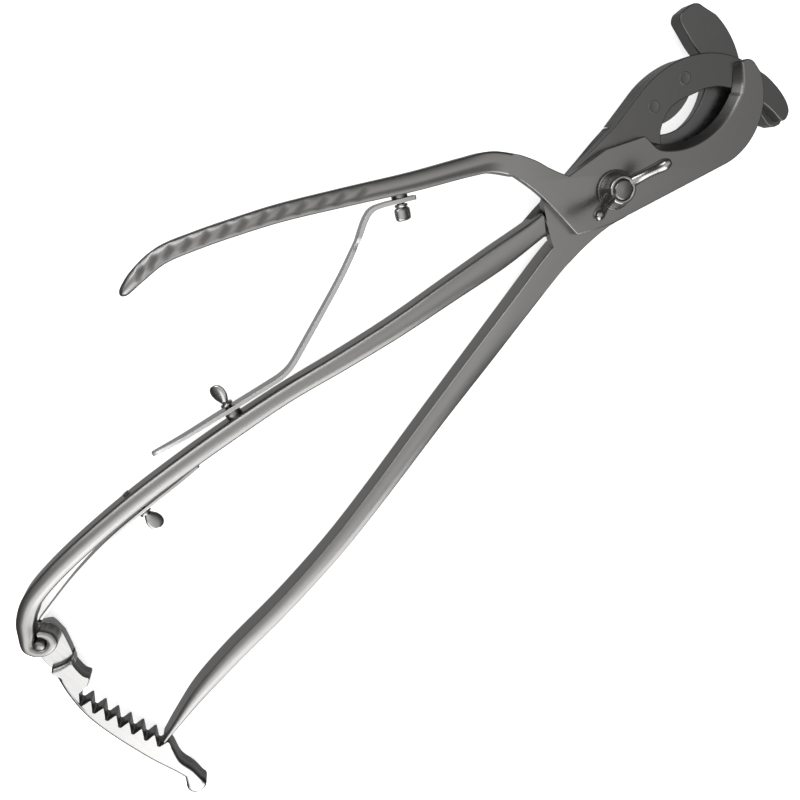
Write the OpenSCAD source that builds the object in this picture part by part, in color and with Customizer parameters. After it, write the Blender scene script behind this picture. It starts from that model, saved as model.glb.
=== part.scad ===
// Three-handled crushing and cutting forceps with a ratchet bar.
// It lies flat. The pivot axis is Z, the jaws point along +X and the origin is
// on the face of the pivot bolt's head, which the tool rests on.
// Two levers cross at the pivot and crush; a third, on top, cuts.

/* [Pivot] */
// Radius of the pivot bolt's shank
shank_r = 5.45; // [5:0.05:6]
// Radius of the threaded stud that the wing nut runs on
stud_r = 4.8; // [4.5:0.1:5]
// Thickness of the bolt's head
head_h = 4; // [3:0.5:5]
// Radial running clearance of the levers on the shank
pivot_gap = 0.05; // [0.02:0.01:0.1]

/* [Layers] */
// Thickness of the rear lap, on the lever that carries the ratchet bar
rear_lap = 7.9; // [7:0.1:8]
// Thickness of the front lap, on the lever with the pointed end
front_lap = 5.3; // [4.5:0.1:5.5]
// Thickness of the cutting plate
knife_plate = 4.5; // [4:0.1:5]
// Depth of the handles, front to back
handle_depth = 14.5; // [12:0.5:14.5]

/* [Ratchet] */
// Angle between neighbouring teeth, seen from the pivot
tooth_pitch = 1.237; // [1.15:0.001:1.25]
// Number of valleys that the lever's point can drop into
valleys = 7; // [5:1:7]
// Radius of the lever's point about the pivot
point_r = 366.2; // [366:0.1:366.4]
// Gap between the point and the tooth crests while the bar is held off
crest_gap = 0.35; // [0.3:0.05:1]
// Depth of a valley
valley_depth = 5; // [4:0.5:5.5]

/* [Springs] */
// Thickness of the two leaves of the V spring
leaf_t = 2; // [1.5:0.1:2.2]
// Width of the leaves
leaf_w = 9; // [7:0.5:9]
// Thickness of the ratchet bar's spring
bar_leaf_t = 1.6; // [1.2:0.1:1.6]

/* [Screws] */
// Radius of the thumb screws' shanks
screw_r = 1.9; // [1.6:0.1:2]
// Width of a thumb screw's flat head
spade_w = 8; // [6:0.5:8.5]

/* [Hidden] */
$fn = 64;
slip = 0.1;

// Heights of the layers, from the table up
rear_z = head_h + slip;
front_z = rear_z + rear_lap + slip;
plate_z = front_z + front_lap + slip;
plate_top = plate_z + knife_plate;
front_top = front_z + front_lap;
handle_z = front_top - handle_depth;
spring_z = 10.2;

// The lever with the point is full depth outside this radius and halved inside it
lap_r = 35;

// Ratchet
bar_pin = [-353, 42];
bar_z = 5;
tongue_h = 4.7;
bar_h = 8;
cheek_z = bar_z + tongue_h + slip;
last_valley = 186.85;
crest_r = point_r + crest_gap;
valley_r = crest_r + valley_depth;

// Jaws: the rear jaw's crushing edge is an arc that swings up by this angle
close_angle = (valleys - 1) * tooth_pitch;
crush_c = [53, 18.2];
crush_r = 23.8;
crush_gap = 0.2;
knife_c = [57.7, 20.9];
knife_r = 33.6;
jaw_outer_c = [47, -22];
rivet_at = [[40.3, 13.9], [60, 13]];
rivet_r = 3;

steel = [0.60, 0.60, 0.61];
dark_steel = [0.42, 0.42, 0.43];

// ---------- curves ----------
function arc(c, r, a0, a1, n = 24) =
    [for (i = [0:n]) let (a = a0 + (a1 - a0) * i / n) [c[0] + r * cos(a), c[1] + r * sin(a)]];

function turned(p, a) = [p[0] * cos(a) - p[1] * sin(a), p[0] * sin(a) + p[1] * cos(a)];

function clamped(list, i) = list[max(0, min(len(list) - 1, i))];

// Smooth curve through every row of a list, whatever a row's length is
function between(a, b, c, d, t) =
    0.5 * (2 * b + (c - a) * t + (2 * a - 5 * b + 4 * c - d) * t * t
           + (3 * b - a - 3 * c + d) * t * t * t);
function smooth(list, steps = 4) = concat(
    [for (i = [0:len(list) - 2]) for (s = [0:steps - 1])
        between(clamped(list, i - 1), list[i], list[i + 1], clamped(list, i + 2), s / steps)],
    [list[len(list) - 1]]);

function heading(path, i) =
    let (d = clamped(path, i + 1) - clamped(path, i - 1)) atan2(d[1], d[0]);

// The point of a path at a given x, and the index of the row before it
function on_path(path, x) =
    let (i = [for (k = [0:len(path) - 2]) if (path[k][0] >= x && path[k + 1][0] < x) k][0],
         t = (path[i][0] - x) / (path[i][0] - path[i + 1][0]),
         p = path[i] + (path[i + 1] - path[i]) * t) [p[0], p[1], i];

// One side of a strip of constant thickness that follows a path
function offset_side(path, d) = [for (i = [0:len(path) - 1])
    let (a = heading(path, i)) [path[i][0] - d * sin(a), path[i][1] + d * cos(a)]];

function strip(path, t) = concat(
    offset_side(path, t / 2),
    [for (i = [len(path) - 1:-1:0]) offset_side(path, -t / 2)[i]]);

// ---------- bars ----------
// A bar is a list of stations [x, y, half width, low z, high z]. Its section is
// a rectangle with round corners.
ring_n = 16;
function corner(v, k) = (v < 0 ? -1 : 1) * pow(abs(v), k);
function section(rows, i) =
    let (s = rows[i], a = heading(rows, i), mid = (s[3] + s[4]) / 2, half = (s[4] - s[3]) / 2)
    [for (j = [0:ring_n - 1])
        let (q = 360 * (j + 0.5) / ring_n, u = s[2] * corner(cos(q), 0.55),
             w = half * corner(sin(q), 0.45))
        [s[0] - u * sin(a), s[1] + u * cos(a), mid + w]];

module bar(stations, steps = 4) {
    rows = smooth(stations, steps);
    count = len(rows);
    polyhedron(
        points = [for (i = [0:count - 1]) for (p = section(rows, i)) p],
        faces = concat(
            [[for (j = [0:ring_n - 1]) j]],
            [[for (j = [ring_n - 1:-1:0]) (count - 1) * ring_n + j]],
            [for (i = [0:count - 2]) for (j = [0:ring_n - 1])
                let (k = (j + 1) % ring_n)
                [i * ring_n + j, (i + 1) * ring_n + j, (i + 1) * ring_n + k]],
            [for (i = [0:count - 2]) for (j = [0:ring_n - 1])
                let (k = (j + 1) % ring_n)
                [i * ring_n + j, (i + 1) * ring_n + k, i * ring_n + k]]));
}

module slab(z, h) {
    translate([0, 0, z]) linear_extrude(h) children();
}

module pivot_bore(r) {
    translate([0, 0, -1]) cylinder(h = 60, r = r);
}

// ---------- lever with the pointed end, front lap and anvil jaw ----------
module tip_lever_plan() {
    polygon(concat(
        [[-38.4, -0.6], [-37.3, 2.4], [-34.6, 8.4], [-32.2, 12.9], [-29.3, 18.6], [-27, 20],
         [-11, 20], [20, 20.5]],
        arc(jaw_outer_c, 46, 101, 22, 26),
        smooth([[92, -11], [94, -16], [95.7, -24.5], [96, -32], [94.8, -37.3], [92, -39.7],
                [88.9, -38.9], [87.6, -32], [86, -26], [83, -18.5], [79.5, -12.3], [75.9, -7],
                [71.3, -2], [65.3, 2], [61, 3.6], [57, 5.1], [52.5, 6.7], [48, 7.4], [44.5, 7],
                [41, 5.6], [38, 3.9], [35.5, 1.6], [32, -4], [30, -10]], 2),
        [[18, -17], [2, -17], [-11, -13.5], [-25, -12.1], [-37, -12.2],
         [-48, -12], [-48, -3]]));
}

tip_stations = [
    [-30, -5.8, 6.2, handle_z, front_top], [-46, -7.3, 5.9, handle_z, front_top],
    [-70, -10.9, 5.6, handle_z, front_top], [-100, -15.6, 5.5, handle_z, front_top],
    [-142, -21.9, 5.1, handle_z, front_top], [-190, -29.6, 4.8, handle_z, front_top],
    [-226, -34.2, 4.6, handle_z, front_top], [-264, -36.5, 4.4, handle_z, front_top],
    [-303, -36.8, 4.3, handle_z, front_top], [-330, -38.2, 3.6, handle_z, front_top],
    [-350, -41.2, 2, handle_z + 0.5, front_top - 0.5]];
point_dir = [cos(last_valley), sin(last_valley)];

module tip_lever() {
    point_end = [each point_r * point_dir, 0.7, handle_z + 2, front_top - 1.5];
    color(steel) difference() {
        union() {
            difference() {
                bar(concat(tip_stations, [point_end]));
                pivot_bore(lap_r);
            }
            slab(front_z, front_lap) tip_lever_plan();
            // the anvil jaw's end is as deep as both laps
            slab(rear_z, rear_lap + slip) polygon([[90.5, -13], [86.5, -17], [85, -27], [85.2, -37.4],
                [87.6, -41.2], [90.5, -42.2], [93.4, -40.6], [95, -36.5], [95.4, -28],
                [93.6, -18.5]]);
        }
        pivot_bore(shank_r);
        for (p = rivet_at) translate([p[0], p[1], 0]) cylinder(h = 60, r = rivet_r);
    }
}

// ---------- crushing block, riveted behind the anvil jaw ----------
module crushing_block() {
    mate_c = turned(crush_c, close_angle);
    color(dark_steel) difference() {
        slab(rear_z, rear_lap + slip) polygon(concat(
            arc(mate_c, crush_r - crush_gap, 229, 317, 30),
            arc(jaw_outer_c, 46, 67, 101, 12),
            [[21, 20.5]]));
        for (p = rivet_at) translate([p[0], p[1], 0]) cylinder(h = 60, r = rivet_r);
    }
}

module jaw_rivets() {
    color(dark_steel) for (p = rivet_at)
        translate([p[0], p[1], rear_z]) cylinder(h = front_top - rear_z, r = rivet_r);
}

// ---------- lever that carries the ratchet bar, rear lap and crushing jaw ----------
module rack_lever_plan() {
    polygon(concat(
        [[-47, 5.6], [-47, 16], [-31, 16.8], [-18, 17], [0, 18.6], [12, 19.8], [20.2, 20.3],
         [25, 14.5], [29, 8.5], [32, 5], [34.2, 3.2]],
        arc(crush_c, crush_r, 222, 335, 42),
        [[75.5, 14], [75.2, 20], [75.5, 26]],
        arc([80, 31], 4.5, 160, 100, 6),
        arc([83, 29], 6, 80, 10, 8),
        arc([48, 13.5], 45, 12, -112, 40),
        [[13, -15.5]],
        arc([0, 0], 16.5, 280, 230, 8),
        [[-26, -2], [-37, 6.4]]));
}

rack_stations = [
    [-30, 9, 6, handle_z, front_top], [-40, 10.4, 6, handle_z, front_top],
    [-62, 14.8, 6, handle_z, front_top], [-90, 20.4, 5.5, handle_z, front_top],
    [-120, 26.4, 5, handle_z, front_top], [-150, 33.8, 4.6, handle_z, front_top],
    [-180, 41.9, 4.3, handle_z, front_top], [-210, 48.3, 4.5, handle_z, front_top],
    [-240, 53.7, 4.5, handle_z, front_top], [-270, 58, 4.5, handle_z, front_top],
    [-300, 60.5, 4.5, handle_z, front_top], [-322, 61, 4.4, handle_z, front_top],
    [-339, 59.2, 4.4, handle_z, front_top], [-350, 53.6, 4.8, handle_z, front_top],
    [-354, 44, 5.8, handle_z, front_top]];

// Thumb screws: where each passes the outer face of its spring, and its heading
screw_cut = [-78.5, 66.9, -121.6];
screw_main = [-204, 57.2, 77.5];
screw_bar = [-270, 51, -96.7];

module along(place, z = spring_z) {
    translate([place[0], place[1], z]) rotate([0, 0, place[2]]) rotate([0, 90, 0]) children();
}

module rack_lever() {
    color(steel) difference() {
        union() {
            difference() {
                bar(rack_stations);
                // the front half stops at the seam with the other lever
                slab(rear_z + rear_lap, 10) polygon([[-29, 26], [-30.4, 18.8], [-33.6, 13.4],
                    [-36.2, 9], [-38.2, 4.5], [-38, 0], [0, 0], [0, 26]]);
                // relief that lets the handles close
                slab(0, 30) polygon([[-20, -6], [-20, 7.4], [-37.5, 6.8], [-42, 6.2], [-47, 5.5],
                    [-47, -6]]);
            }
            slab(rear_z, rear_lap) rack_lever_plan();
            slab(cheek_z, front_top - cheek_z) hull() {
                translate(bar_pin) circle(r = 7);
                translate(bar_pin + [2, -0.5]) circle(r = 7);
            }
            // boss under the main spring
            along(screw_main) translate([0, 0, -8]) cylinder(h = 5.5, r = 4);
        }
        pivot_bore(shank_r + pivot_gap);
        // the crossing tip is ground thinner behind
        slab(rear_z - 1, 3.8) polygon([[66, 10], [110, 10], [110, 60], [66, 60]]);
        translate([bar_pin[0], bar_pin[1], 0]) {
            cylinder(h = cheek_z, r = 13.8);
            cylinder(h = 60, r = 2.5);
        }
        along(screw_main) translate([0, 0, -12]) cylinder(h = 30, r = screw_r + 0.05);
        along(screw_bar) translate([0, 0, -20]) cylinder(h = 30, r = screw_r + 0.05);
    }
}

// ---------- cutting lever, on top ----------
module cutting_lever_plan() {
    polygon(concat(
        [[-27, -3], [-10, -12]],
        arc([60, -3], 30.3, 251, 346, 36),
        arc([83.6, -5.2], 5.7, 0, 108, 8),
        arc(knife_c, knife_r, 318, 202, 40),
        [[8, 17.4], [-13, 21], [-15.5, 25.5], [-20, 37], [-26.5, 47], [-36, 55], [-44, 58.5],
         [-46, 54], [-38, 47], [-33, 38], [-29, 24]]));
}

cut_z = plate_top - handle_depth + 0.6;
cut_stations = [
    [-23.5, 33, 4.6, plate_z + 0.3, plate_top], [-29, 42.5, 5, cut_z + 4, plate_top],
    [-36.5, 51.5, 4.8, cut_z, plate_top], [-47, 58.2, 4.5, cut_z, plate_top],
    [-69, 70.6, 4.3, cut_z, plate_top], [-96, 87.1, 4.1, cut_z, plate_top],
    [-121, 102, 3.9, cut_z, plate_top], [-140, 111.8, 3.8, cut_z, plate_top],
    [-156, 119.4, 3.8, cut_z, plate_top], [-171, 125.4, 3.8, cut_z, plate_top],
    [-184, 126.6, 3.4, cut_z + 0.5, plate_top - 0.5], [-195, 126, 1.8, cut_z + 2, plate_top - 2]];

module cutting_lever() {
    path = smooth(cut_stations);
    color(steel) difference() {
        union() {
            bar(cut_stations);
            slab(plate_z, knife_plate) cutting_lever_plan();
            // boss over the short spring leaf
            along(screw_cut, 12.5) translate([0, 0, -9]) cylinder(h = 6.8, r = 3.8);
        }
        pivot_bore(shank_r + pivot_gap);
        // knife bevel round the inside of the hook
        translate([knife_c[0], knife_c[1], 0]) rotate([0, 0, 214])
            rotate_extrude(angle = 106, $fn = 120)
            polygon([[knife_r - 3, plate_z + 0.1], [knife_r - 0.6, plate_z + 0.1],
                     [knife_r + 3.4, plate_top + 0.01], [knife_r - 3, plate_top + 0.01]]);
        along(screw_cut, 12.5) translate([0, 0, -11]) cylinder(h = 30, r = screw_r + 0.05);
        // grip flutes across the outer face of the handle
        for (i = [0:12]) {
            spot = on_path(path, -90.5 - 7.66 * i);
            turn = heading(path, spot[2]);
            translate([spot[0], spot[1], plate_top]) rotate([90, 0, turn + 124])
                linear_extrude(20, center = true)
                polygon([[-1.9, 1], [-0.8, -0.75], [0.8, -0.75], [1.9, 1]]);
        }
    }
}

// ---------- pivot bolt, washer and wing nut ----------
washer_h = 1.4;
nut_z = plate_top + slip + washer_h + 0.05;
nut_h = 7;
wing_reach = 21.5;
wing_top = 41;
wing_angle = -8;

module pivot_bolt() {
    color(dark_steel) union() {
        cylinder(h = head_h, r = 13);
        cylinder(h = plate_top, r = shank_r);
        cylinder(h = nut_z + nut_h + 0.5, r = stud_r);
    }
}

module seat_washer() {
    color(dark_steel) translate([0, 0, plate_top + slip]) difference() {
        cylinder(h = washer_h, r = 9.3);
        translate([0, 0, -1]) cylinder(h = 5, r = stud_r);
    }
}

module wing() {
    rotate([90, 0, 0]) translate([0, 0, -1.7]) linear_extrude(3.4) polygon(concat(
        [[5, nut_z + 0.8], [9.5, nut_z + 1.2], [14, nut_z + 5]],
        arc([wing_reach - 4, wing_top - 5], 4, -40, 160, 12),
        [[9.5, nut_z + nut_h + 1.5], [5.2, nut_z + nut_h - 0.5]]));
}

module wing_nut() {
    color(steel) difference() {
        union() {
            translate([0, 0, nut_z]) cylinder(h = nut_h, r1 = 8.8, r2 = 6.9);
            rotate([0, 0, wing_angle]) wing();
            rotate([0, 0, wing_angle + 180]) wing();
        }
        translate([0, 0, nut_z - 1]) cylinder(h = 30, r = stud_r + 0.06);
    }
}

// ---------- ratchet bar ----------
function polar(r, a) = [r * cos(a), r * sin(a)];
function valley_angle(k) = last_valley - (valleys - 1 - k) * tooth_pitch;

function teeth() = [for (k = [0:valleys - 2]) let (a = valley_angle(k)) each [
    polar(valley_r, a - 0.09 * tooth_pitch),
    polar(valley_r, a + 0.09 * tooth_pitch),
    polar(crest_r, a + 0.20 * tooth_pitch),
    polar(crest_r, a + 0.34 * tooth_pitch)]];

module ratchet_bar_plan() {
    a = valley_angle(0);
    b = last_valley;
    polygon(concat(
        [[-350.5, 28.5], [-355, 21.5], [-357, 14], [-356, 10], [-361, 8.2]],
        [polar(crest_r, a - 0.62 * tooth_pitch)],
        teeth(),
        [polar(valley_r, b - 0.09 * tooth_pitch), polar(valley_r, b + 0.09 * tooth_pitch),
         polar(crest_r + 0.5, b + 0.32 * tooth_pitch), polar(crest_r + 0.5, b + 0.5 * tooth_pitch)],
        smooth([[-365.5, -51.5], [-369.8, -60.5], [-370.5, -70], [-372.3, -78]], 4),
        arc([-377.5, -78.5], 5.4, -20, -235, 16),
        smooth([[-377.3, -70], [-377.5, -62], [-378.5, -46], [-378, -22], [-376, -4],
                [-371.5, 11], [-365.5, 24]], 3)));
}

module ratchet_bar() {
    color(steel) difference() {
        union() {
            slab(bar_z, bar_h) difference() {
                ratchet_bar_plan();
                translate(bar_pin) circle(r = 14.6);
            }
            slab(bar_z, tongue_h) polygon(concat(
                smooth([[-365, 24.5], [-364, 32], [-361.5, 38]], 3),
                arc(bar_pin, 7.6, 180, 60, 10),
                [[-345.6, 46.2], [-344, 44.6], [-344, 42.5]],
                smooth([[-345.5, 36], [-350, 28], [-354, 22]], 3),
                [[-358, 18]]));
        }
        translate([bar_pin[0], bar_pin[1], 0]) cylinder(h = 40, r = 2.55);
    }
}

module ratchet_pin() {
    color(dark_steel) translate([bar_pin[0], bar_pin[1], 0]) union() {
        translate([0, 0, bar_z - 1.3]) cylinder(h = 1.2, r = 4.4);
        translate([0, 0, bar_z - 1]) cylinder(h = front_top - bar_z + 1.2, r = 2.5);
    }
}

// ---------- leaf springs ----------
main_path = [[-245, 67], [-229, 62], [-212, 57.8], [-198, 54.4], [-184, 51], [-176, 49.3],
             [-169, 49.4], [-158, 52.2], [-126, 61.2], [-108, 67.2]];
short_path = [[-106.2, 68.4], [-102, 70.4], [-96, 73.2], [-91, 74.2], [-86, 72.4], [-78, 67.8],
              [-72, 64.1]];
bar_spring_path = [[-236, 47], [-252, 49.1], [-270, 51.4], [-286, 52.9], [-300, 53.3],
                   [-320, 52.4], [-346.2, 49.2]];

module leaf(path, t, w, z, place, hole_z) {
    difference() {
        slab(z - w / 2, w) polygon(strip(smooth(path, 3), t));
        along(place, hole_z) cylinder(h = 12, r = screw_r + 0.4, center = true);
    }
}

module main_spring_leaf() {
    color(steel) leaf(main_path, leaf_t, leaf_w, spring_z, screw_main, spring_z);
}

module short_spring_leaf() {
    color(steel) leaf(short_path, leaf_t, leaf_w, 12.5, screw_cut, 12.5);
}

module ratchet_spring() {
    color(steel) leaf(bar_spring_path, bar_leaf_t, leaf_w - 1, spring_z - 1, screw_bar, spring_z);
}

// ---------- thumb screws ----------
module thumb_screw(inner, collar) {
    union() {
        translate([0, 0, -inner]) cylinder(h = inner + collar + 4, r = screw_r);
        translate([0, 0, collar]) cylinder(h = 1.4, r = 3.1);
        translate([0, 0, collar + 3]) rotate([90, 0, 65])
            translate([0, 0, -1.3]) linear_extrude(2.6) hull() {
                circle(r = 1.9);
                translate([0, 5.6]) circle(r = spade_w / 2);
            }
    }
}

module cutting_handle_screw() {
    color(steel) along(screw_cut, 12.5) thumb_screw(9.5, 0.6);
}

module main_spring_screw() {
    color(steel) along(screw_main) thumb_screw(10.5, 0.6);
}

module ratchet_spring_screw() {
    color(steel) along(screw_bar) thumb_screw(12.4, 0.6);
}

tip_lever();
crushing_block();
jaw_rivets();
rack_lever();
cutting_lever();
pivot_bolt();
seat_washer();
wing_nut();
ratchet_bar();
ratchet_pin();
main_spring_leaf();
short_spring_leaf();
ratchet_spring();
cutting_handle_screw();
main_spring_screw();
ratchet_spring_screw();
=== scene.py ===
"""Looks of long-handled crushing and cutting forceps: three steel levers on one pivot,
a V spring and a ratchet bar. Lengths in the data are in millimetres."""
import math

import bpy
from mathutils import Matrix, Vector


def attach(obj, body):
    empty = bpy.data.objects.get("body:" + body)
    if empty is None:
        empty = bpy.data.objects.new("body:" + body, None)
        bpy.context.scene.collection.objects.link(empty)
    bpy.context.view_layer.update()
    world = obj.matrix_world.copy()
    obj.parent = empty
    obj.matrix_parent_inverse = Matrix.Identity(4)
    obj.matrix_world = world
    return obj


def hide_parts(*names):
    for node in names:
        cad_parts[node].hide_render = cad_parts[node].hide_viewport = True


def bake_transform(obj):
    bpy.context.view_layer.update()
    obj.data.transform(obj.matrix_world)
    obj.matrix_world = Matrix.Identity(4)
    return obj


MM = 0.001
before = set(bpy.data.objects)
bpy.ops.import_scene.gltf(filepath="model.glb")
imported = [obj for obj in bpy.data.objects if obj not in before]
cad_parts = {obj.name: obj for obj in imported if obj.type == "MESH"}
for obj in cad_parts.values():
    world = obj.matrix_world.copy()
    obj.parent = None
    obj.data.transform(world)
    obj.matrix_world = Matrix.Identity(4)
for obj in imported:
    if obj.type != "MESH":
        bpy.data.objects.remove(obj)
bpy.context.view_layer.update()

# Heights of the layers above the table
REAR = (4.1, 12.0)
FRONT = (12.1, 17.4)
PLATE = (17.5, 22.0)
HANDLE_LOW = 2.9
CUT_LOW = 8.1
EYE_FLOOR = 9.8
SPRING_Z = 10.2

CRUSH_C, CRUSH_R = (53, 18.2), 23.8
KNIFE_C, KNIFE_R = (57.7, 20.9), 33.6
JAW_OUTER_C = (47, -22)
BAR_PIN = (-353, 42)
BAR = (5, 13.0)
TONGUE_TOP = 9.7
KNOB_C = (-377.5, -78.5)
POINT_ANGLE, POINT_R = 186.85, 366.2
TOOTH_PITCH, VALLEYS = 1.237, 7
CREST_R, VALLEY_R = 366.55, 371.55


# ---------- curves ----------
def smooth(rows, steps=4):
    """Catmull-Rom curve through every row of numbers."""
    out = []
    for i in range(len(rows) - 1):
        a, b = rows[max(i - 1, 0)], rows[i]
        c, d = rows[i + 1], rows[min(i + 2, len(rows) - 1)]
        for s in range(steps):
            t = s / steps
            out.append(tuple(
                0.5 * (2 * q + (r - p) * t + (2 * p - 5 * q + 4 * r - w) * t * t
                       + (3 * q - p - 3 * r + w) * t ** 3)
                for p, q, r, w in zip(a, b, c, d)))
    out.append(tuple(rows[-1]))
    return out


def polar(r, degrees, centre=(0, 0)):
    a = math.radians(degrees)
    return (centre[0] + r * math.cos(a), centre[1] + r * math.sin(a))


def arc(centre, r, start, end, steps):
    return [polar(r, start + (end - start) * i / steps, centre) for i in range(steps + 1)]


def heading(path, i):
    p, q = path[max(i - 1, 0)], path[min(i + 1, len(path) - 1)]
    return math.atan2(q[1] - p[1], q[0] - p[0])


def ease(t):
    t = min(max(t, 0.0), 1.0)
    return t * t * (3 - 2 * t)


# ---------- meshes ----------
def piece(name, verts, faces, material, body, nodes=()):
    """A smooth-shaded mesh that rides on a body and stands for CAD nodes."""
    mesh = bpy.data.meshes.new(name)
    mesh.from_pydata([Vector(v) * MM for v in verts], [], faces)
    mesh.validate()
    mesh.update()
    obj = bpy.data.objects.new(name, mesh)
    bpy.context.collection.objects.link(obj)
    mesh.materials.append(MATERIALS[material])
    mesh.shade_smooth()
    if body:
        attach(obj, body)
    if nodes:
        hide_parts(*nodes)
    return obj


def even_normals(obj):
    normals = obj.modifiers.new("even_normals", "WEIGHTED_NORMAL")
    normals.weight = 60
    return obj


def walls(rings, n):
    """Faces between rings of n vertices each, numbered ring by ring."""
    return [(i * n + j, i * n + k, (i + 1) * n + k, (i + 1) * n + j)
            for i in range(rings - 1) for j, k in zip(range(n), [*range(1, n), 0])]


def skin(rings):
    """Vertices and faces of a tube through rings of equal length, closed at both ends."""
    n = len(rings[0])
    verts = [p for ring in rings for p in ring]
    ends = [tuple(range(n - 1, -1, -1)), tuple((len(rings) - 1) * n + j for j in range(n))]
    return verts, ends + walls(len(rings), n)


def section(half, low, high, edge, crown):
    """Closed section (across, up) of a bar: flat flanks, a crowned face and rounded edges."""
    edge = min(edge, half * 0.6)
    foot = min(1 + edge, half * 0.7, (high - low) * 0.3)
    wide = half - edge
    for _ in range(4):
        tilt = math.atan2(2 * crown, wide)
        wide = half - edge * (1 - math.sin(tilt))
    rest = math.pi / 2 - tilt
    middle = high - crown - edge * math.cos(tilt)
    points = [(half - foot + foot * math.sin(a), low + foot - foot * math.cos(a))
              for a in (0, 0.52, 1.05, 1.57)]
    points.append((half, (low + middle) / 2))
    points += [(half - edge + edge * math.cos(rest * k / 5), middle + edge * math.sin(rest * k / 5))
               for k in range(5)]
    sides = len(points)
    points += [(wide * (1 - i / 6), high - crown * (1 - i / 6) ** 2) for i in range(13)]
    points += [(-x, z) for x, z in reversed(points[:sides])]
    return points


def bar_rings(rows, edge, crown, trim=None, dent=None):
    """Rings of a bar along rows (x, y, half width, low, high). crown(i) is how far its face
    rises, trim(y) gives the first ring's x and dent(x, y, z) is how far a vertex sinks."""
    rings = []
    for i, (x, y, half, low, high) in enumerate(rows):
        a = heading(rows, i)
        ring = []
        for u, z in section(half, low, high, edge, crown(i)):
            px, py = x - u * math.sin(a), y + u * math.cos(a)
            if trim and i == 0:
                px = trim(py)
            if dent:
                z -= dent(px, py, z)
            ring.append((px, py, z))
        rings.append(ring[::-1])
    return rings


def slab(name, outline, levels, edge, material, body, nodes=()):
    """A plate from an outline of (x, y, inset x, inset y, edge weight) and levels of
    (height, share of the inset). Its top edge is rounded by edge times the weight."""
    rows = [tuple(p) + (0, 0, 1)[len(p) - 2:] for p in outline]
    area = sum(a[0] * b[1] - b[0] * a[1] for a, b in zip(rows, rows[1:] + rows[:1]))
    if area < 0:
        rows.reverse()
    n = len(rows)
    verts = [(x + f * ix, y + f * iy, z) for z, f in levels for x, y, ix, iy, _ in rows]
    last = (len(levels) - 1) * n
    ends = [tuple(range(n - 1, -1, -1)), tuple(last + j for j in range(n))]
    obj = piece(name, verts, ends + walls(len(levels), n), material, body, nodes)
    weights = obj.data.attributes.new("bevel_weight_edge", "FLOAT", "EDGE")
    for e, w in zip(obj.data.edges, weights.data):
        a, b = sorted(e.vertices)
        if a >= last:
            w.value = min(rows[a - last][4], rows[b - last][4])
        elif b < n:
            w.value = 0.5 * min(rows[a][4], rows[b][4])
    bevel = obj.modifiers.new("edge", "BEVEL")
    bevel.limit_method = "WEIGHT"
    bevel.width = edge * MM
    bevel.segments = 3
    bevel.use_clamp_overlap = False
    return even_normals(obj)


def inset_arc(centre, r, start, end, steps, inset, weight=0.4, fade=0.2):
    """Arc whose top edge lies further out than its foot, fading at its end."""
    out = []
    for i in range(steps + 1):
        x, y = polar(r, start + (end - start) * i / steps, centre)
        share = inset * ease((1 - i / steps) / fade)
        out.append((x, y, (x - centre[0]) / r * share, (y - centre[1]) / r * share, weight))
    return out


def drawn_in(path, width):
    """Points of a clockwise outline whose top edge lies further in than its foot."""
    turns = [heading(path, i) for i in range(len(path))]
    return [(x, y, width * math.sin(a), -width * math.cos(a), 0)
            for (x, y), a in zip(path, turns)]


def rounded(low, top, depth, steps=6):
    """Levels of a slab whose top edge is a quarter circle of this depth."""
    turns = [math.pi / 2 * i / steps for i in range(steps + 1)]
    return [(low, 0)] + [(top - depth + depth * math.sin(a), 1 - math.cos(a)) for a in turns]


def darken(obj, shade):
    """Marks how far each vertex of a piece is darkened by painted shade, by a rule of its place in
    mm.
    """
    marks = obj.data.attributes.new("recess", "FLOAT", "POINT")
    for mark, vertex in zip(marks.data, obj.data.vertices):
        mark.value = shade(*(vertex.co / MM))


def lathe(profile, steps=64, centre=(0, 0, 0), turn=None):
    """A body of revolution about Z from (radius, height) pairs, open at radius 0."""
    verts = []
    for r, z in profile:
        for j in range(steps):
            a = 2 * math.pi * j / steps
            v = Vector((r * math.cos(a), r * math.sin(a), z))
            verts.append((turn @ v if turn else v) + Vector(centre))
    faces = walls(len(profile), steps)
    for row, order in ((0, -1), (len(profile) - 1, 1)):
        if profile[row][0] > 0 and profile[0] != profile[-1]:
            faces.append(tuple(row * steps + j for j in range(steps))[::order])
    return [tuple(v) for v in verts], faces


# ---------- materials ----------
def add(tree, kind, **inputs):
    made = tree.nodes.new(kind)
    for key, value in inputs.items():
        made.inputs[key.replace("_", " ")].default_value = value
    return made


def textures(tree, grain, spin):
    """Noise drawn out into brush lines along the spun X axis, and noise in blotches."""
    place = add(tree, "ShaderNodeTexCoord")
    turn = add(tree, "ShaderNodeMapping", Rotation=(0, 0, math.radians(spin)))
    stretch = add(tree, "ShaderNodeMapping", Scale=grain)
    brush = add(tree, "ShaderNodeTexNoise", Scale=1.0, Detail=4.0, Roughness=0.6)
    blotch = add(tree, "ShaderNodeTexNoise", Scale=55.0, Detail=5.0, Roughness=0.65)
    for a, b in ((place.outputs["Object"], turn.inputs["Vector"]),
                 (turn.outputs["Vector"], stretch.inputs["Vector"]),
                 (stretch.outputs["Vector"], brush.inputs["Vector"]),
                 (place.outputs["Object"], blotch.inputs["Vector"])):
        tree.links.new(a, b)
    return brush.outputs["Fac"], blotch.outputs["Fac"]


def spread(tree, source, low, high):
    ramp = add(tree, "ShaderNodeMapRange", From_Min=0.3, From_Max=0.7, To_Min=low, To_Max=high)
    tree.links.new(source, ramp.inputs["Value"])
    return ramp.outputs["Result"]


def times(tree, a, b):
    product = add(tree, "ShaderNodeMath")
    product.operation = "MULTIPLY"
    tree.links.new(a, product.inputs[0])
    if isinstance(b, float):
        product.inputs[1].default_value = b
    else:
        tree.links.new(b, product.inputs[1])
    return product.outputs["Value"]


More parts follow.
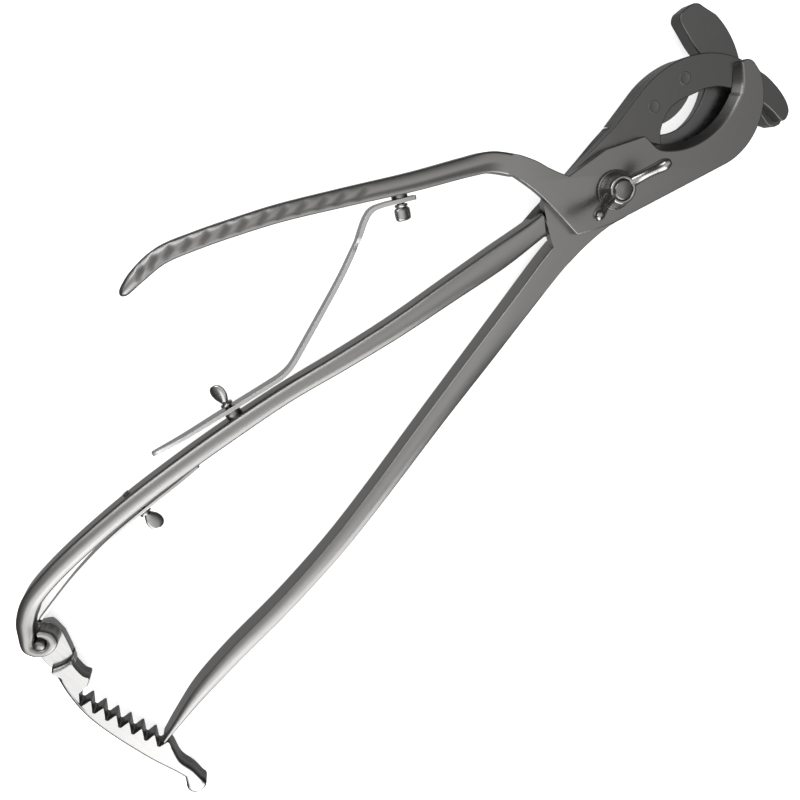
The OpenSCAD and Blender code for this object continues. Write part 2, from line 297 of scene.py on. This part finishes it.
def coloured(tree, brush, tone):
    """The tone with brush lines in it, at half its strength where a mesh carries painted shade."""
    tint = add(tree, "ShaderNodeMix")
    tint.data_type = "RGBA"
    tint.inputs["A"].default_value = (*[c * 0.9 for c in tone], 1)
    tint.inputs["B"].default_value = (*[min(c * 1.1, 1) for c in tone], 1)
    tree.links.new(brush, tint.inputs["Factor"])
    # Painted shade: vertices marked by darken() take half the tone here.
    recess = add(tree, "ShaderNodeAttribute")
    recess.attribute_name = "recess"
    painted_shade_mix = add(tree, "ShaderNodeMix")
    painted_shade_mix.data_type = "RGBA"
    painted_shade_mix.inputs["B"].default_value = (*[c * 0.5 for c in tone], 1)
    tree.links.new(recess.outputs["Fac"], painted_shade_mix.inputs["Factor"])
    tree.links.new(tint.outputs["Result"], painted_shade_mix.inputs["A"])
    return painted_shade_mix.outputs["Result"]


def steel(name, tone, rough, grain=(30, 900, 900), spin=0.0, wear=0.25, bump=0.04):
    """Bare brushed steel whose roughness varies by wear, more along the lines than in blotches."""
    material = bpy.data.materials.new(name)
    material.use_nodes = True
    tree = material.node_tree
    shader = tree.nodes["Principled BSDF"]
    shader.inputs["Metallic"].default_value = 1.0
    brush, blotch = textures(tree, grain, spin)
    worn = times(tree, spread(tree, brush, 1 - wear, 1 + wear),
                 spread(tree, blotch, 1 - wear * 0.5, 1 + wear * 0.5))
    tree.links.new(times(tree, worn, rough), shader.inputs["Roughness"])
    tree.links.new(coloured(tree, brush, tone), shader.inputs["Base Color"])
    relief = add(tree, "ShaderNodeBump", Strength=bump, Distance=0.0004)
    tree.links.new(brush, relief.inputs["Height"])
    tree.links.new(relief.outputs["Normal"], shader.inputs["Normal"])
    return material


MATERIALS = {
    "lever_steel": steel("lever_steel", (0.285, 0.28, 0.275), 0.34, grain=(300, 2600, 2600),
                         wear=0.12, bump=0.015),
    "jaw_steel": steel("jaw_steel", (0.16, 0.158, 0.156), 0.36, grain=(500, 500, 500)),
    "bolt_steel": steel("bolt_steel", (0.22, 0.217, 0.213), 0.30, grain=(700, 700, 700)),
    "nut_steel": steel("nut_steel", (0.40, 0.39, 0.375), 0.24, grain=(160, 160, 160), bump=0.12),
    "bar_steel": steel("bar_steel", (0.39, 0.387, 0.383), 0.30, spin=98, bump=0.02),
    "spring_steel": steel("spring_steel", (0.50, 0.495, 0.49), 0.26),
    "screw_steel": steel("screw_steel", (0.46, 0.455, 0.45), 0.22, grain=(400, 400, 400)),
}


# ---------- the lever with the pointed end ----------
SEAM = [(-38.4, -0.6), (-37.3, 2.4), (-34.6, 8.4), (-32.2, 12.9), (-29.3, 18.6)]
TIP_ROWS = [
    (-35, -6.2, 6.1), (-46, -7.3, 5.9), (-70, -10.9, 5.6), (-100, -15.6, 5.5),
    (-142, -21.9, 5.1), (-190, -29.6, 4.8), (-226, -34.2, 4.6), (-264, -36.5, 4.4),
    (-303, -36.8, 4.3), (-330, -38.2, 3.6), (-350, -41.2, 2)]


def tip_lever():
    rows = [r + (HANDLE_LOW, FRONT[1]) for r in TIP_ROWS]
    rows[-1] = TIP_ROWS[-1] + (HANDLE_LOW + 0.5, FRONT[1] - 0.5)
    rows.append(polar(POINT_R, POINT_ANGLE) + (0.7, HANDLE_LOW + 2, FRONT[1] - 1.5))
    rows = smooth(rows, 12)
    verts, faces = skin(bar_rings(
        rows, 0.9, lambda i: 0.03 + 1.1 * ease((i - 20) / 24) * min(1, rows[i][2] / 3.5)))
    even_normals(piece("tip_lever_handle", verts, faces, "lever_steel", "tip_lever_body",
                       ["tip_lever"]))
    slab("anvil_jaw_end", [(90.5, -13), (86.5, -17), (85, -27), (85.2, -37.4), (87.6, -41.2),
                           (90.5, -42.2), (93.4, -40.6), (95, -36.5), (95.4, -28), (93.6, -18.5)],
         [(REAR[0], 0), (FRONT[0], 0)], 0.3, "jaw_steel", "tip_lever_body")
    outline = (
        [p + (0, 0, 0.25) for p in smooth(SEAM, 4)]
        + smooth([(-27, 20), (-11, 20.1), (20, 20.5)], 2)
        + arc(JAW_OUTER_C, 46, 101, 22, 60)
        + smooth([(92, -11), (94, -16), (95.7, -24.5), (96, -32), (94.8, -37.3), (92, -39.7),
                  (88.9, -38.9), (87.6, -32), (86, -26), (83, -18.5), (79.5, -12.3), (75.9, -7),
                  (71.3, -2), (65.3, 2), (61, 3.6), (57, 5.1), (52.5, 6.7), (48, 7.4), (44.5, 7),
                  (41, 5.6), (38, 3.9), (35.5, 1.6), (32, -4), (30, -10)], 4)
        + smooth([(18, -17), (2, -17), (-11, -13.5), (-25, -12.2), (-37, -12.4)], 3)
        + [(x, y, 0, 0, 0) for x, y in smooth([(-42, -12.5), (-50, -13.2), (-57.2, -14.3),
                                               (-58.8, -4.1), (-50, -2.6), (-42, -1.5)], 1)])
    jaw = slab("anvil_jaw", outline, [(FRONT[0], 0), (FRONT[1], 0)], 0.55, "lever_steel",
               "tip_lever_body")
    # Painted shade: the jaw's top is darkened toward the head.
    darken(jaw, lambda x, y, z: 0.9 * ease((x + 12) / 26))


def rivets():
    for i, spot in enumerate([(40.3, 13.9), (60, 13)]):
        top = FRONT[1]
        verts, faces = lathe([(0, REAR[0]), (3, REAR[0]), (3, top), (2.9, top + 0.07),
                              (2.6, top + 0.09), (2.3, top + 0.03), (0, top + 0.05)],
                             48, (spot[0], spot[1], 0))
        piece(f"jaw_rivet_{i + 1}", verts, faces, "jaw_steel", "tip_lever_body", ["jaw_rivets"])


# ---------- the lever that carries the ratchet bar ----------
RACK_ROWS = [
    (-30, 10.4, 5.0), (-40, 11.4, 5.1), (-62, 14.9, 5.9), (-90, 20.4, 5.5), (-120, 26.4, 5),
    (-150, 33.8, 4.6), (-180, 41.9, 4.3), (-210, 48.3, 4.5), (-240, 53.7, 4.5),
    (-270, 58, 4.5), (-300, 60.5, 4.5), (-322, 61, 4.4), (-337, 59.6, 4.4), (-347, 55.2, 4.3),
    (-353, 50, 3.9)]
# The curl round the pin: direction, distance and half width, seen from the pin.
CURL = [(145, 5.8, 2.9), (185, 5.0, 2.3), (225, 4.8, 2.0), (270, 4.9, 2.1), (315, 5.6, 2.5),
        (355, 6.1, 2.5), (390, 6.2, 1.9), (408, 5.9, 1.2)]


def rack_start(y):
    """Where the lever's front half begins, just clear of the seam."""
    line = [(-0.6, -39.4), (4.5, -38.35), (9, -36.05), (13.2, -33.25), (18.4, -29.75)]
    for (y0, x0), (y1, x1) in zip(line, line[1:]):
        if y < y1:
            break
    return x0 + (x1 - x0) * (y - y0) / (y1 - y0)


def rack_lever():
    stations = RACK_ROWS + [polar(r, a, BAR_PIN) + (half,) for a, r, half in CURL]
    rows = smooth([r + (HANDLE_LOW, FRONT[1] - 0.02) for r in stations], 12)[4:]

    def eye_floor(x, y, z):
        """The end stands clear of the ratchet bar's tongue below it."""
        near = math.hypot(x - BAR_PIN[0], y - BAR_PIN[1]) < 14 and z < EYE_FLOOR
        return z - EYE_FLOOR if near else 0

    verts, faces = skin(bar_rings(
        rows, 2.2, lambda i: ease((i - 1) / 30) * min(1, rows[i][2] / 4.4) ** 2,
        trim=rack_start, dent=eye_floor))
    even_normals(piece("rack_lever_handle", verts, faces, "lever_steel", "rack_lever_body",
                       ["rack_lever"]))
    outline = (
        [(-44, 6.4), (-44, 15.5), (-31, 16.6), (-18, 17), (0, 18.6), (12, 19.8), (20.5, 20.3),
         (25, 14.5), (29, 8.5), (32, 5), (34.2, 3.2)]
        + inset_arc(CRUSH_C, CRUSH_R, 222, 335, 80, 1.8, 1)
        + smooth([(75.5, 14), (75.2, 20), (75.5, 26), (75.8, 32.5)], 4)
        + arc((80, 31), 4.5, 150, 100, 6) + arc((83, 29), 6, 80, 10, 8)
        + arc((48, 13.5), 45, 12, -112, 60) + [(13, -15.5)] + arc((0, 0), 16.5, 280, 230, 8)
        + [(-26, -2), (-37, 6.4)])
    jaw = slab("crushing_jaw", outline,
               [(REAR[0], 1), (9.0, 0.3), (10.6, 0.05), (REAR[1], 0)], 0.6,
               "jaw_steel", "rack_lever_body")
    # Painted shadow: the rear lap under the front plates is darkened.
    darken(jaw, lambda x, y, z: 1 - ease((x - 24) / 12))


# ---------- the cutting lever ----------
CUT_ROWS = [
    (-29, 42.5, 5, CUT_LOW + 4), (-36.5, 51.5, 4.8, CUT_LOW), (-47, 58.2, 4.5, CUT_LOW),
    (-69, 70.6, 4.3, CUT_LOW), (-96, 87.1, 4.1, CUT_LOW), (-121, 102, 3.9, CUT_LOW),
    (-140, 111.8, 3.8, CUT_LOW), (-156, 119.4, 3.8, CUT_LOW), (-171, 125.4, 3.8, CUT_LOW),
    (-184, 126.6, 3.4, CUT_LOW + 0.5), (-193, 126.1, 2.3, CUT_LOW + 1.5),
    (-195.8, 125.9, 0.9, CUT_LOW + 3)]
FLUTES, FLUTE_PITCH, FIRST_FLUTE = 13, 7.66, -90.5
FLUTE_DEPTH, FLUTE_TURN = 0.3, 34


def flute_lines(rows):
    """Middle and direction of each flute of the grip."""
    lines = []
    for step in range(FLUTES):
        x = FIRST_FLUTE - FLUTE_PITCH * step
        i = min(range(len(rows)), key=lambda k: abs(rows[k][0] - x))
        lines.append((rows[i][:2], heading(rows, i) + math.radians(FLUTE_TURN)))
    return lines


def flute_depth(lines, x, y):
    """How deep the flutes are at a place on the grip's face."""
    depth = 0
    for (cx, cy), a in lines:
        dx, dy = x - cx, y - cy
        across = -dx * math.sin(a) + dy * math.cos(a)
        lengthwise = dx * math.cos(a) + dy * math.sin(a)
        if abs(across) < 4 and abs(lengthwise) < 6:
            depth = max(depth, FLUTE_DEPTH * math.exp(-(across / 1.5) ** 4)
                        * math.exp(-(lengthwise / 3.4) ** 4))
    return depth


def inner_band(rows, x, y):
    """A band of painted shade along the handle's inner side, narrower toward its end."""
    i = min(range(len(rows)), key=lambda k: math.hypot(rows[k][0] - x, rows[k][1] - y))
    a = heading(rows, i)
    side = ((rows[i][0] - x) * math.sin(a) + (y - rows[i][1]) * math.cos(a)) / rows[i][2]
    start = -0.15 + 0.65 * i / len(rows)
    return ease((side - start) / 0.3) * ease((0.95 - side) / 0.1) * ease((i - 8) / 20)


def cutting_handle():
    tops = [PLATE[1] - 0.03] + [PLATE[1]] * 8 + [PLATE[1] - 0.5, PLATE[1] - 1.5, PLATE[1] - 3]
    rows = smooth([r + (t,) for r, t in zip(CUT_ROWS, tops)], 22)
    lines = flute_lines(rows)

    def flute(x, y, z):
        return flute_depth(lines, x, y) if z >= PLATE[1] - 3.2 else 0

    # Painted shade in the flute hollows and in a band along the inner side.
    def shade(x, y, z):
        return max(flute(x, y, z + FLUTE_DEPTH) / FLUTE_DEPTH,
                   inner_band(rows, x, y) if z > PLATE[1] - 4 else 0)

    verts, faces = skin(bar_rings(rows, 1.5, lambda i: ease(i / 50), dent=flute))
    handle = even_normals(piece("cutting_lever_handle", verts, faces, "lever_steel",
                                "cutting_lever_body", ["cutting_lever"]))
    darken(handle, shade)


def hooked_blade():
    outline = (
        smooth([(-27, -3), (-18.5, -7.8), (-10, -12)], 1) + arc((60, -3), 30.3, 251, 346, 50)
        + arc((83.6, -5.2), 5.7, 0, 82, 12)
        + smooth([(83.2, 0.5, 0.9, -0.2, 0.6), (82.2, -0.1, 1.8, -0.5, 0.8),
                  (80.8, -1.6, 2.3, -1.1, 0.9), (79.2, -3.6, 2.4, -1.8, 0.9),
                  (77.2, -6.1, 2.3, -2.5, 0.9), (74.6, -8.6, 1.9, -3.0, 0.9)], 4)
        + inset_arc(KNIFE_C, KNIFE_R, 298, 202, 76, 3.6, 0.9)
        + [(8, 17.4), (-13, 21)]
        + smooth([(-15.5, 25.5), (-18, 31), (-20.5, 37.5), (-24.7, 45)], 3)
        + [(-27.4, 47.4, 0, 0, 0), (-34.3, 42.1, 0, 0, 0), (-32.9, 39.9, 0, 0, 0.3)]
        + smooth([(-31, 33), (-29, 24), (-27.6, 8)], 3))
    blade = slab("hooked_blade", outline,
                 [(PLATE[0], 0), (PLATE[1] - 1.1, 0.72), (PLATE[1], 1)], 0.6,
                 "lever_steel", "cutting_lever_body")
    # Painted shade: the blade is a little darker toward the head.
    darken(blade, lambda x, y, z: 0.25 * ease((x + 26) / 14))


# ---------- pivot ----------
def pivot():
    verts, faces = lathe([(0, 0), (12.4, 0), (13, 0.6), (13, 3.4), (12.4, 4), (5.45, 4),
                          (5.45, 22), (4.8, 22), (4.8, 30.2), (4.3, 30.9), (3.8, 31.1),
                          (0, 31.3)])
    piece("pivot_bolt_body", verts, faces, "bolt_steel", "tip_lever_body", ["pivot_bolt"])
    verts, faces = lathe([(4.85, 22.1), (8.9, 22.1), (9.3, 22.4), (9.3, 23.2), (8.9, 23.5),
                          (4.85, 23.5), (4.85, 22.1)])
    piece("seat_washer_ring", verts, faces, "bolt_steel", "tip_lever_body", ["seat_washer"])


WING = [(3.5, 26.8, 3.4, 3.4), (7, 27.9, 3.2, 3.0), (10, 29.6, 2.8, 2.7), (13, 32.0, 2.6, 2.6),
        (15.8, 34.6, 2.8, 2.8), (18, 36.7, 3.0, 3.0), (19.8, 38.4, 2.7, 2.6),
        (21.2, 39.6, 1.4, 1.4)]


def wing_nut():
    verts, faces = lathe([(4.9, 23.6), (8.4, 23.6), (8.8, 24.0), (8.6, 24.9), (7.8, 26.6),
                          (7.0, 28.8), (6.6, 30.0), (6.0, 30.55), (5.2, 30.5), (4.9, 30.1),
                          (4.9, 23.6)])
    piece("wing_nut_hub", verts, faces, "nut_steel", "wing_nut_body", ["wing_nut"])
    path = smooth(WING, 5)
    for side, turn in (("right", -8), ("left", 172)):
        c, s = math.cos(math.radians(turn)), math.sin(math.radians(turn))
        rings = []
        for i, (r, z, wide, thick) in enumerate(path):
            a = heading(path, i)
            ring = []
            for j in range(20):
                q = 2 * math.pi * j / 20
                up, over = wide * math.cos(q), thick * math.sin(q)
                pr, pz = r - up * math.sin(a), z + up * math.cos(a)
                ring.append((pr * c - over * s, pr * s + over * c, pz))
            rings.append(ring)
        verts, faces = skin(rings)
        piece(f"wing_nut_{side}_wing", verts, faces, "nut_steel", "wing_nut_body")


# ---------- ratchet bar ----------
def ratchet_outline():
    """The toothed edge from the step on, then the end knob and the long smooth back."""
    first = POINT_ANGLE - (VALLEYS - 1) * TOOTH_PITCH
    edge = smooth([(-350.5, 28.5), (-355, 21.5), (-357, 14), (-356.5, 10.5), (-361, 8.2)], 3)
    teeth = [polar(CREST_R, first - 0.62 * TOOTH_PITCH)]
    for k in range(VALLEYS):
        a = first + k * TOOTH_PITCH
        teeth += [polar(VALLEY_R - 0.9, a - 0.15 * TOOTH_PITCH),
                  polar(VALLEY_R - 0.2, a - 0.09 * TOOTH_PITCH), polar(VALLEY_R, a),
                  polar(VALLEY_R - 0.2, a + 0.09 * TOOTH_PITCH)]
        if k < VALLEYS - 1:
            teeth += [polar(VALLEY_R - 2.6, a + 0.16 * TOOTH_PITCH),
                      polar(CREST_R + 0.9, a + 0.20 * TOOTH_PITCH),
                      polar(CREST_R, a + 0.25 * TOOTH_PITCH),
                      polar(CREST_R, a + 0.33 * TOOTH_PITCH),
                      polar(CREST_R + 0.7, a + 0.42 * TOOTH_PITCH)]
    teeth += [polar(CREST_R + 0.5, POINT_ANGLE + 0.32 * TOOTH_PITCH),
              polar(CREST_R + 0.5, POINT_ANGLE + 0.5 * TOOTH_PITCH)]
    ramp = smooth([(-365.5, -51.5), (-369.8, -60.5), (-370.5, -70), (-372.3, -78)], 5)
    knob = [(x, y, (KNOB_C[0] - x) * 0.45, (KNOB_C[1] - y) * 0.45, 0)
            for x, y in arc(KNOB_C, 5.4, -20, -235, 24)]
    back = smooth([(-377.3, -70), (-377.5, -62), (-378.5, -46), (-378, -22), (-376, -4),
                   (-371.5, 11), (-365.5, 24)], 5)
    return (drawn_in(edge[2:], 0.6) + drawn_in(teeth, 0.3) + drawn_in(ramp, 1.2) + knob
            + drawn_in(back, 2.4)[:-1])


def ratchet_bar():
    step = [(x, y, top_x - x, top_y - y, 0) for (x, y), (top_x, top_y) in zip(
        arc(BAR_PIN, 17, -126, -84, 12), arc(BAR_PIN, 20, -128, -97, 12))]
    bar = slab("ratchet_bar_body_bar", ratchet_outline() + step, rounded(*BAR, 2.6), 0,
               "bar_steel", "ratchet_bar_body", ["ratchet_bar"])
    # Painted shade: the bar's sides and rounded top edge are darkened below its face.
    darken(bar, lambda x, y, z: ease((BAR[1] - z) / 0.8))
    tongue = (smooth([(-365, 24.5), (-364, 32), (-361.5, 38)], 4) + arc(BAR_PIN, 7.6, 180, 60, 16)
              + [(-345.6, 46.2), (-344, 44.6), (-344, 42.5)]
              + smooth([(-345.5, 36), (-350, 28), (-354, 22)], 4) + [(-358, 18), (-364, 19)])
    slab("ratchet_bar_tongue", tongue, [(BAR[0], 0), (TONGUE_TOP, 0)], 0.5, "bar_steel",
         "ratchet_bar_body")
    x, y = BAR_PIN
    verts, faces = lathe([(0, 3.7), (4.1, 3.7), (4.4, 4), (4.4, 4.9), (2.5, 4.9), (2.5, 17.3),
                          (2.2, 17.6), (0, 17.7)], 40, (x, y, 0))
    piece("ratchet_pin_head", verts, faces, "bolt_steel", "rack_lever_body", ["ratchet_pin"])


# ---------- leaf springs ----------
def leaf(name, rows, z, body, nodes, thick):
    """A leaf along rows of (x, y, half width); its faces stand upright."""
    full = smooth([(x, y, thick / 2, z - w, z + w) for x, y, w in rows], 8)
    verts, faces = skin(bar_rings(full, 0.25, lambda i: 0))
    return even_normals(piece(name, verts, faces, "spring_steel", body, nodes))


def springs():
    main = leaf("main_leaf", [
        (-245, 67, 1.6), (-241, 65.6, 2.6), (-229, 62, 3.8), (-212, 57.8, 4.5),
        (-198, 54.4, 4.5), (-184, 51, 4.5), (-176, 49.3, 4.5), (-169, 49.4, 4.5),
        (-158, 52.2, 4.5), (-126, 61.2, 4.3), (-112, 65.9, 4.1), (-107.6, 67.6, 3.2),
        (-105.6, 68.5, 2.2)],
        SPRING_Z, None, ["main_spring_leaf"], 2.0)
    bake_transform(main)
    leaf("short_leaf", [
        (-106.2, 68.4, 3.2), (-102, 70.4, 4.4), (-96, 73.2, 4.5), (-91, 74.2, 4.5),
        (-86, 72.4, 4.4), (-78, 67.8, 4.2), (-72, 64.1, 3.4)], 12.5, "cutting_lever_body",
        ["short_spring_leaf"], 2.0)
    leaf("bar_leaf", [
        (-236, 47, 1.2), (-244, 48, 2.6), (-252, 49.1, 3.6), (-270, 51.4, 4),
        (-286, 52.9, 4), (-300, 53.3, 3.8), (-320, 52.4, 3.4), (-346.2, 49.2, 2.6)],
        SPRING_Z - 1, "rack_lever_body", ["ratchet_spring"], 1.6)


# ---------- thumb screws ----------
SCREWS = {
    "cutting_handle_screw": ((-78.5, 66.9, 12.5), -121.6, 9.5, "cutting_screw_body"),
    "main_spring_screw": ((-204, 57.2, SPRING_Z), 77.5, 10.5, "main_screw_body"),
    "ratchet_spring_screw": ((-270, 51, SPRING_Z), -96.7, 12.4, "ratchet_screw_body"),
}

SPADE_TURN = 65
SPADE = [(2.6, 1.9, 1.5), (4, 2.7, 1.5), (6, 3.7, 1.35), (8.6, 3.95, 1.2), (10.8, 3.2, 1.0),
         (12, 1.7, 0.6)]
BARREL = [(1.8, 2.2, 1.8), (2.6, 3.8, 2.4), (3.6, 4.2, 2.8), (6.8, 4.1, 2.8), (7.8, 3.6, 2.4),
          (8.3, 2.4, 1.4)]


def bosses():
    """Pads that carry the V spring's leaves on the handles."""
    for name, screw, span, r, body in (
            ("cutting_handle_boss", "cutting_handle_screw", (-9, -1.1), 3.8,
             "cutting_lever_body"),
            ("rack_handle_boss", "main_spring_screw", (-8, -1.1), 4.0, "rack_lever_body")):
        spot, toward = SCREWS[screw][:2]
        turn = Matrix.Rotation(math.radians(toward), 3, "Z") @ Matrix.Rotation(math.pi / 2, 3, "Y")
        verts, faces = lathe([(1.95, span[0]), (r, span[0]), (r, span[1] - 0.4),
                              (r - 0.4, span[1]), (1.95, span[1]), (1.95, span[0])], 48, spot, turn)
        piece(name, verts, faces, "lever_steel", body)


def thumb_screws():
    for node, (spot, toward, inner, body) in SCREWS.items():
        turn = Matrix.Rotation(math.radians(toward), 3, "Z") @ Matrix.Rotation(math.pi / 2, 3, "Y")
        verts, faces = lathe([(0, -inner), (1.9, -inner), (1.9, 0.6), (2.9, 0.7), (3.1, 1.0),
                              (3.0, 1.8), (1.7, 2.2), (1.6, 3.2)], 32, spot, turn)
        piece(node + "_shank", verts, faces, "screw_steel", body, [node])
        c, s = math.cos(math.radians(SPADE_TURN)), math.sin(math.radians(SPADE_TURN))
        rings = []
        form = BARREL if node == "cutting_handle_screw" else SPADE
        for h, wide, thick in smooth(form, 4):
            ring = []
            for j in range(20):
                q = 2 * math.pi * j / 20
                across, over = wide * math.cos(q), thick * math.sin(q)
                v = turn @ Vector((across * c - over * s, across * s + over * c, h))
                ring.append(tuple(v + Vector(spot)))
            rings.append(ring)
        verts, faces = skin(rings)
        piece(node + "_head", verts, faces, "screw_steel", body)


# ---------- studio ----------
def paper():
    """The white sheet that the tool lies on."""
    material = bpy.data.materials.new("paper")
    material.use_nodes = True
    shader = material.node_tree.nodes["Principled BSDF"]
    shader.inputs["Base Color"].default_value = (0.9, 0.9, 0.9, 1)
    shader.inputs["Roughness"].default_value = 0.9
    shader.inputs["Emission Color"].default_value = (1, 1, 1, 1)
    shader.inputs["Emission Strength"].default_value = 0.75
    mesh = bpy.data.meshes.new("floor")
    mesh.from_pydata([(-4, -4, -0.0005), (4, -4, -0.0005), (4, 4, -0.0005), (-4, 4, -0.0005)],
                     [], [(0, 1, 2, 3)])
    mesh.materials.append(material)
    floor = bpy.data.objects.new("floor", mesh)
    bpy.context.collection.objects.link(floor)
    floor.visible_glossy = False


def room():
    """Surroundings that the steel mirrors: pale below, dark at eye level, dim above."""
    world = bpy.data.worlds.new("studio")
    world.use_nodes = True
    tree = world.node_tree
    place = tree.nodes.new("ShaderNodeTexCoord")
    parts = tree.nodes.new("ShaderNodeSeparateXYZ")
    tree.links.new(place.outputs["Generated"], parts.inputs["Vector"])
    height = tree.nodes.new("ShaderNodeMapRange")
    height.inputs["From Min"].default_value = -1
    tree.links.new(parts.outputs["Z"], height.inputs["Value"])
    ramp = tree.nodes.new("ShaderNodeValToRGB")
    tree.links.new(height.outputs["Result"], ramp.inputs["Fac"])
    stops = ramp.color_ramp.elements
    for share, grey in ((0.0, 0.40), (0.22, 0.30), (0.42, 0.06), (0.60, 0.05), (0.80, 0.12),
                        (1.0, 0.13)):
        stop = stops.new(share)
        stop.color = (grey, grey, grey, 1)
    stops.remove(stops[0])
    stops.remove(stops[-1])
    tree.links.new(ramp.outputs["Color"], tree.nodes["Background"].inputs["Color"])
    bpy.context.scene.world = world
    bpy.context.scene.view_settings.view_transform = "Standard"


def softboxes():
    softbox("soft_end", (-0.95, -0.35, 0.65), (-0.35, 0, 0), (0.8, 0.9), 4.2)
    softbox("soft_far", (-0.25, 1.0, 0.8), (-0.2, 0.05, 0), (1.0, 0.4), 5)
    softbox("soft_near", (-0.75, -1.0, 0.5), (-0.25, 0, 0), (1.1, 0.9), 9)


def softbox(name, spot, target, size, power):
    light = bpy.data.lights.new(name, "AREA")
    light.shape = "RECTANGLE"
    light.size, light.size_y = size
    light.energy = power
    obj = bpy.data.objects.new(name, light)
    obj.location = spot
    obj.rotation_euler = (Vector(target) - Vector(spot)).to_track_quat("-Z", "Y").to_euler()
    bpy.context.collection.objects.link(obj)


def camera():
    right = Vector((0.70626, -0.67282, 0.22023))
    up = Vector((0.70649, 0.64985, -0.28029))
    back = right.cross(up).normalized()
    view = Matrix((right, up, back)).transposed().to_4x4()
    view.translation = (-0.1285, 0.1223, 0.341)
    data = bpy.data.cameras.new("camera")
    data.lens = 31.5
    data.clip_start = 0.01
    obj = bpy.data.objects.new("camera", data)
    obj.matrix_world = view
    bpy.context.collection.objects.link(obj)
    bpy.context.scene.camera = obj


def cad_finish():
    """Nodes whose CAD shape is already right take only a finish."""
    for name in ("crushing_block",):
        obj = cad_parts[name]
        obj.data.materials.clear()
        obj.data.materials.append(MATERIALS["jaw_steel"])


tip_lever()
rivets()
rack_lever()
cutting_handle()
hooked_blade()
pivot()
wing_nut()
ratchet_bar()
springs()
bosses()
thumb_screws()
cad_finish()
paper()
room()
softboxes()
camera()
